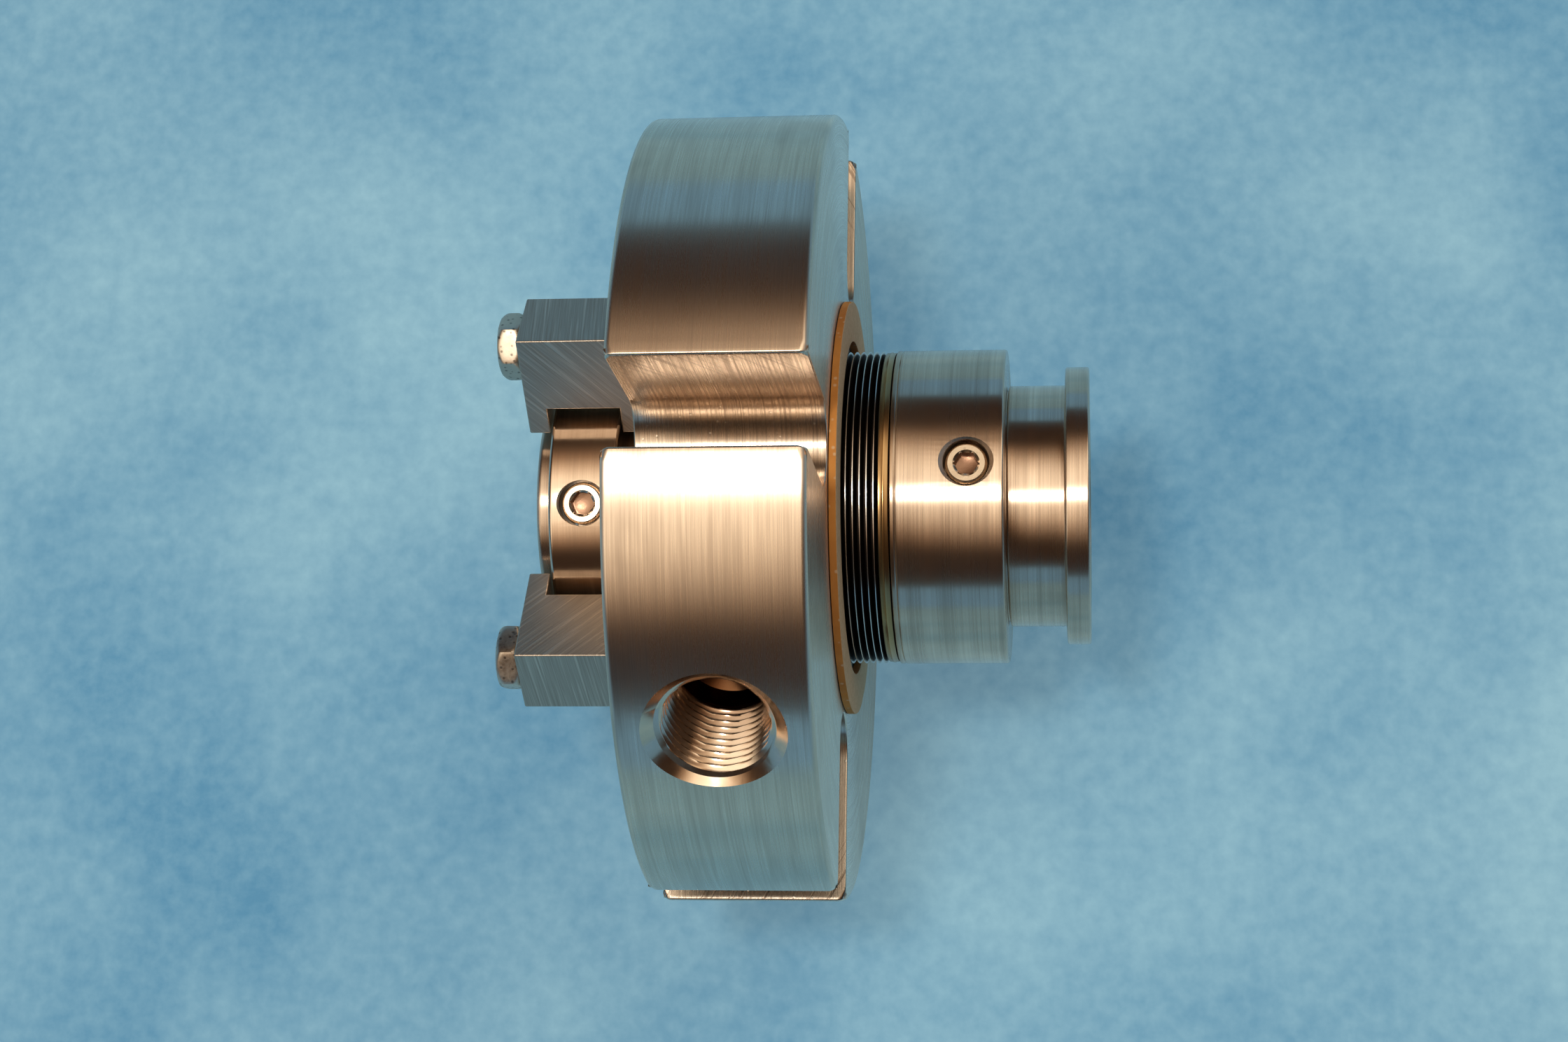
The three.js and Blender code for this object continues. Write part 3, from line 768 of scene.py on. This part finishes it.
def mating_ring():
    left, right = span("mating_ring")
    outer, bore, nose, shoulder = outer_radius("mating_ring"), SEAT_BORE, 27.6, -19.6
    groove_left, groove_right, groove_floor = -24.6, -21.4, 26.0
    obj = lathe("ceramic_seat", [
        (left, bore, 0.4), (right, bore, 0.2), (right, nose, 0.2), (shoulder, nose, 0.2),
        (shoulder, outer, 0.3), (groove_right, outer, 0.2), (groove_right, groove_floor, 0.2),
        (groove_left, groove_floor, 0.2), (groove_left, outer, 0.2), (left, outer, 0.3),
    ])
    shade(obj)
    return place(obj, CERAMIC, "gland", "ceramic", "mating_ring")


def o_ring(node, name, body):
    """A round rubber section with its moulding line left plain."""
    left, right = span(node)
    middle, section = (left + right) / 2, (right - left) / 2
    centre = outer_radius(node) - section
    rings = []
    for i in range(20):
        a = 2 * math.pi * i / 20
        rings.append((middle + section * math.cos(a), centre + section * math.sin(a)))
    obj = spin(name, rings)
    shade(obj, 60)
    return place(obj, RUBBER, body, "elastomer", node)


gasket()
mating_ring()
plain_ring("throttle_bushing", "carbon_bushing", BUSHING_BORE, CARBON, "gland", "carbon")
o_ring("mating_ring_seal", "seat_o_ring", "gland")
for kept in ("anti_rotation_pin", "retaining_ring"):
    node = frame["nodes"][kept]
    node.data.materials.clear()
    node.data.materials.append(SCREW_STEEL)


# ---- setting clips and cap screws -----------------------------------------------------------------

CLIPS = (1, 2, 3, 4)
CLIP_WIDTH, CLIP_INNER, CLIP_OUTER = 14.0, 24.0, 45.0
NOTCH_LEFT, NOTCH_RIGHT, NOTCH_FLOOR = -53.8, -40.2, 29.5
CLIP_EDGE = 0.3
HEAD_TURNS = {1: -17.3, 2: -32.3, 3: 9.0, 4: -4.0}      # how far each head is screwed round, degrees


def joint_place(name):
    found = [j for j in frame["joints"] if j["name"] == name][0]
    x, y, z = found["pos_m"]
    return math.degrees(math.atan2(y, z)), math.hypot(y, z) / MM


def hex_radius(flats, angle):
    """The distance from the centre of a hexagon to its side, at an angle."""
    sixth = math.pi / 3
    return flats / 2 / math.cos((angle + sixth / 2) % sixth - sixth / 2)


def smaller_of(a, b, power=-28):
    """The smaller of two radii, with a soft change from one to the other."""
    return (a ** power + b ** power) ** (1 / power)


def screwed_round(obj, turn, out, angle):
    """Moves a piece made round the X axis out along Z, turned in place and then round the shaft."""
    spun = Matrix.Rotation(-math.radians(turn), 4, "X")
    moved = Matrix.Translation((0, 0, out * MM))
    obj.data.transform(Matrix.Rotation(-math.radians(angle), 4, "X") @ moved @ spun)
    return obj


def setting_clip(number):
    """A block with a notch over the drive collar, made upright and then turned round the shaft."""
    node = f"setting_clip_{number}"
    angle, screw_out = joint_place(f"clip_{number}_swing")
    left, right = span(node)
    outline = [
        (left, CLIP_OUTER), (left, CLIP_INNER), (NOTCH_LEFT, CLIP_INNER), (NOTCH_LEFT, NOTCH_FLOOR),
        (NOTCH_RIGHT, NOTCH_FLOOR), (NOTCH_RIGHT, CLIP_INNER), (right, CLIP_INNER), (right, CLIP_OUTER),
    ]
    half, count = CLIP_WIDTH / 2, len(outline)
    vertices = [(x, side, out) for side in (-half, half) for x, out in outline]
    faces = [tuple(range(count)), tuple(reversed(range(count, 2 * count)))]
    faces += [(i, i + count, (i + 1) % count + count, (i + 1) % count) for i in range(count)]
    obj = mesh_object(f"clip_block_{number}", vertices, faces)
    work = bmesh.new()
    work.from_mesh(obj.data)
    bmesh.ops.recalc_face_normals(work, faces=work.faces)
    bmesh.ops.bevel(work, geom=[e for e in work.edges if e.is_convex], offset=CLIP_EDGE * MM,
                    segments=2, profile=0.5, affect="EDGES")
    work.to_mesh(obj.data)
    work.free()
    hole = spin("hole", [(right + 2, 0), (right + 2, SHANK_RADIUS + 0.3), (left - 2, SHANK_RADIUS + 0.3),
                         (left - 2, 0)], SMALL)
    hole.data.transform(Matrix.Translation((0, 0, screw_out * MM)))
    cut(obj, hole)
    shade(obj, 50)
    obj.matrix_world = Matrix.Rotation(-math.radians(angle), 4, "X")
    return place(obj, CLIP_STEEL, f"clip_{number}", "ground_steel", node)


def cap_screw(number):
    """A hexagon head with rounded ends on a plain shank."""
    node = f"clip_screw_{number}"
    angle, out = joint_place(f"clip_{number}_swing")
    left, right = span(node)
    under = span(f"setting_clip_{number}")[0] - 0.05
    height = under - left
    corner = HEAD_FLATS / math.sqrt(3)

    def side(along):
        """The turned outline that rounds off the hexagon's corners, and its blend with the flats."""
        share = (along - left) / height
        dome = corner - 1.25 * max(0.0, 1 - share / 0.42) ** 2 - 0.75 * max(0.0, (share - 0.7) / 0.3) ** 2
        return lambda a: smaller_of(hex_radius(HEAD_FLATS, a), dome)

    head = [(left + height * (1 - i / 16), side(left + height * (1 - i / 16))) for i in range(17)]
    shank = [(right, 0), (right, SHANK_RADIUS - 0.5), (right - 0.5, SHANK_RADIUS), (under, SHANK_RADIUS)]
    head[-1] = (left + 0.12, lambda a: side(left)(a) - 0.1)
    crown = [(left, 4.75), (left, 4.4), (left + 0.06, 4.1), (left + 0.06, 0)]
    obj = spin(f"cap_screw_{number}", shank + head + crown, ROUND)
    screwed_round(obj, HEAD_TURNS[number] - angle, out, angle)
    shade(obj, 26)
    return place(obj, HEAD_STEEL, "gland", "fastener_steel", node)


for number in CLIPS:
    setting_clip(number)
    cap_screw(number)


# ---- sleeve, collar and holder --------------------------------------------------------------------

def radial_hole(obj, angle, x, inner, surface, chamfer):
    """Drills a set screw's hole through one wall, with a chamfered mouth."""
    past = 1.5
    rings = [
        (surface + past, 0), (surface + past, HOLE_RADIUS + chamfer + past),
        (surface - chamfer, HOLE_RADIUS), (inner, HOLE_RADIUS), (inner, 0),
    ]
    cut(obj, on_radius(spin("hole", rings, SMALL), angle, x))


def screw_nodes(prefix):
    return sorted(n for n in frame["nodes"] if n.startswith(prefix))


def shaft_sleeve():
    left, right = span("shaft_sleeve")
    collar_screws = screw_nodes("collar_set_screw")
    screw_x = sum(span(collar_screws[0])) / 2
    flange_outer, flange_left, neck_left = outer_radius("shaft_sleeve"), 42.0, 31.3
    groove_left, groove_right, groove_floor = 42.0, 45.4, 21.9
    obj = lathe("sleeve_body", [
        (left, SHAFT_RADIUS, 0.5), (groove_left, SHAFT_RADIUS, 0.15), (groove_left, groove_floor, 0.2),
        (groove_right, groove_floor, 0.2), (groove_right, SHAFT_RADIUS, 0.15), (right, SHAFT_RADIUS, 0.3),
        (right, flange_outer, 0.45), (flange_left, flange_outer, 0.45), (flange_left, NECK_RADIUS, 0.25),
        (neck_left, NECK_RADIUS, 0.4), (neck_left, SLEEVE_RADIUS, 0.1), (left, SLEEVE_RADIUS, 0.9),
    ], ROUND)
    for node in collar_screws:
        radial_hole(obj, angle_of(node), screw_x, SHAFT_RADIUS - 1, SLEEVE_RADIUS, 0.1)
    shade(obj)
    return place(obj, SLEEVE_STEEL, "rotor", "turned_steel", "shaft_sleeve")


def drive_collar():
    left, right = span("drive_collar")
    outer = outer_radius("drive_collar")
    nodes = screw_nodes("collar_set_screw")
    screw_x = sum(span(nodes[0])) / 2
    bore = SLEEVE_RADIUS + SLIDING_FIT
    obj = lathe("collar_ring", [
        (left, bore, 0.3), (right, bore, 0.3), (right, outer, 0.6), (left, outer, 0.7)])
    for node in nodes:
        radial_hole(obj, angle_of(node), screw_x, bore - 2, outer, 0.35)
    shade(obj)
    return place(obj, COLLAR_STEEL, "rotor", "collar_steel", "drive_collar")


def bellows_holder():
    left, right = span("bellows_holder")
    outer = outer_radius("bellows_holder")
    nodes = screw_nodes("holder_set_screw")
    screw_x = sum(span(nodes[0])) / 2
    bore = SLEEVE_RADIUS + SLIDING_FIT
    line, line_depth = left + 0.9, 0.12
    groove_left, groove_right, groove_floor = 12.3, 15.7, 25.4
    obj = lathe("holder_ring", [
        (left, bore, 0.2), (groove_left, bore, 0.1), (groove_left, groove_floor, 0.1),
        (groove_right, groove_floor, 0.1), (groove_right, bore, 0.1), (right, bore, 0.3),
        (right, outer, 0.45), (line + 0.25, outer, 0.06), (line, outer - line_depth, 0.05),
        (line - 0.25, outer, 0.06), (left, outer, 0.15),
    ])
    for node in nodes:
        radial_hole(obj, angle_of(node), screw_x, bore - 2, outer, 0.75)
    shade(obj)
    return place(obj, HOLDER_STEEL, "rotor", "turned_steel", "bellows_holder")


def set_screw(node, top, turn):
    """A grub screw: a chamfered end, a hexagonal socket and a coned bottom."""
    low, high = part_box(node)
    middle = (low + high) / 2 / MM
    centre_out = math.hypot(middle.y, middle.z)
    bottom = 2 * centre_out - top
    socket = lambda a: hex_radius(SOCKET_FLATS, a)
    deep = top - SOCKET_DEPTH
    rings = [
        (bottom, 0), (bottom, SCREW_RADIUS - 0.8), (bottom + 0.8, SCREW_RADIUS), (top - 0.55, SCREW_RADIUS),
        (top - 0.1, SCREW_RADIUS - 0.35), (top, SCREW_RADIUS - 0.5), (top, SOCKET_FLATS / 2 + 0.5),
        (top - 0.08, SOCKET_FLATS / 2 + 0.4), (top - 0.3, socket), (deep, socket),
        (deep, SOCKET_FLATS / 2 - 0.15), (deep - SOCKET_CONE, 0),
    ]
    obj = spin(node + "_fine", rings[::-1], SMALL, math.radians(turn))
    on_radius(obj, angle_of(node), middle.x)
    shade(obj, 30)
    for material in (SCREW_STEEL, SOCKET_SHADE):
        obj.data.materials.append(material)
    axis = Vector((0, middle.y, middle.z)).normalized()
    for face in obj.data.polygons:
        at = face.center / MM
        out = at.dot(axis)
        aside = (at - Vector((middle.x, 0, 0)) - axis * out).length
        # the socket's walls and floor take the painted shade material
        if deep - 1 < out < top - 0.3 and aside < SOCKET_FLATS / 2 + 0.4:
            face.material_index = 1
    return place(obj, SCREW_STEEL, "rotor", "fastener_steel", node)


shaft_sleeve()
drive_collar()
bellows_holder()
for i, node in enumerate(screw_nodes("collar_set_screw")):
    set_screw(node, COLLAR_SCREW_TOP, 8 + 23 * i)
for i, node in enumerate(screw_nodes("holder_set_screw")):
    set_screw(node, HOLDER_SCREW_TOP, 2 + 31 * i)
o_ring("sleeve_o_ring", "shaft_o_ring", "rotor")
o_ring("holder_o_ring", "holder_packing", "rotor")


# ---- bellows, face shell and primary ring ---------------------------------------------------------

BELLOWS_PITCH, CONVOLUTIONS, LAST_TIP = 1.27, 12, 7.35
TIP_HALF, BELLOWS_ROOT, BELLOWS_INNER = 0.14, 25.6, 24.6


def bellows():
    """Thin discs welded in pairs: narrow bright tips with deep grooves between them, darkened by painted
    shade in their material.
    """
    left, right = span("bellows_core")
    tip = outer_radius("bellows_core")
    ring_left, ring_radius = 8.1, 29.6
    outline = [
        (left, BELLOWS_INNER), (right, BELLOWS_INNER), (right, ring_radius - 0.1), (right - 0.2, ring_radius),
        (9.35, ring_radius), (9.2, ring_radius + 0.12), (8.95, ring_radius + 0.12), (8.8, ring_radius),
        (ring_left + 0.15, ring_radius), (ring_left, ring_radius - 0.15), (ring_left, BELLOWS_ROOT + 1),
    ]
    for i in reversed(range(CONVOLUTIONS)):
        at = LAST_TIP - (CONVOLUTIONS - 1 - i) * BELLOWS_PITCH
        outline += [
            (at + TIP_HALF, tip - 1.1), (at + TIP_HALF, tip - 0.16), (at + TIP_HALF * 0.5, tip - 0.02),
            (at - TIP_HALF * 0.5, tip - 0.02), (at - TIP_HALF, tip - 0.16), (at - TIP_HALF, tip - 1.1),
            (at - BELLOWS_PITCH * 0.42, BELLOWS_ROOT), (at - BELLOWS_PITCH * 0.58, BELLOWS_ROOT),
        ]
    outline = outline[:-1]
    outline[-1] = (left, BELLOWS_ROOT)
    obj = spin("bellows_discs", outline)
    shade(obj, 40)
    obj.data.materials.append(BELLOWS_STEEL)
    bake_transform(obj)
    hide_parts("bellows_core")


def face_shell():
    left, right = span("face_shell")
    outer, pocket, bore, wall = outer_radius("face_shell"), 26.6, 24.2, -9.5
    obj = lathe("shell_ring", [
        (left, pocket, 0.2), (wall, pocket, 0.1), (wall, bore, 0.2), (right, bore, 0.2),
        (right, outer, 0.2), (left, outer, 0.4),
    ])
    shade(obj)
    return place(obj, SLEEVE_STEEL, "sealing_face", "turned_steel", "face_shell")


def primary_ring():
    left, right = span("primary_ring")
    bore, outer, nose_inner, nose_outer = SEAT_BORE, outer_radius("primary_ring"), 24.1, 25.7
    back = left + 1.6
    obj = lathe("carbon_face", [
        (back, bore, 0.2), (right, bore, 0.2), (right, outer, 0.3), (back, outer, 0.3),
        (back, nose_outer, 0.1), (left, nose_outer, 0.05), (left, nose_inner, 0.05), (back, nose_inner, 0.1),
    ])
    shade(obj)
    return place(obj, CARBON, "sealing_face", "carbon", "primary_ring")


bellows()
face_shell()
primary_ring()


bpy.context.scene.view_settings.view_transform = "Standard"
bpy.context.scene.view_settings.look = "None"
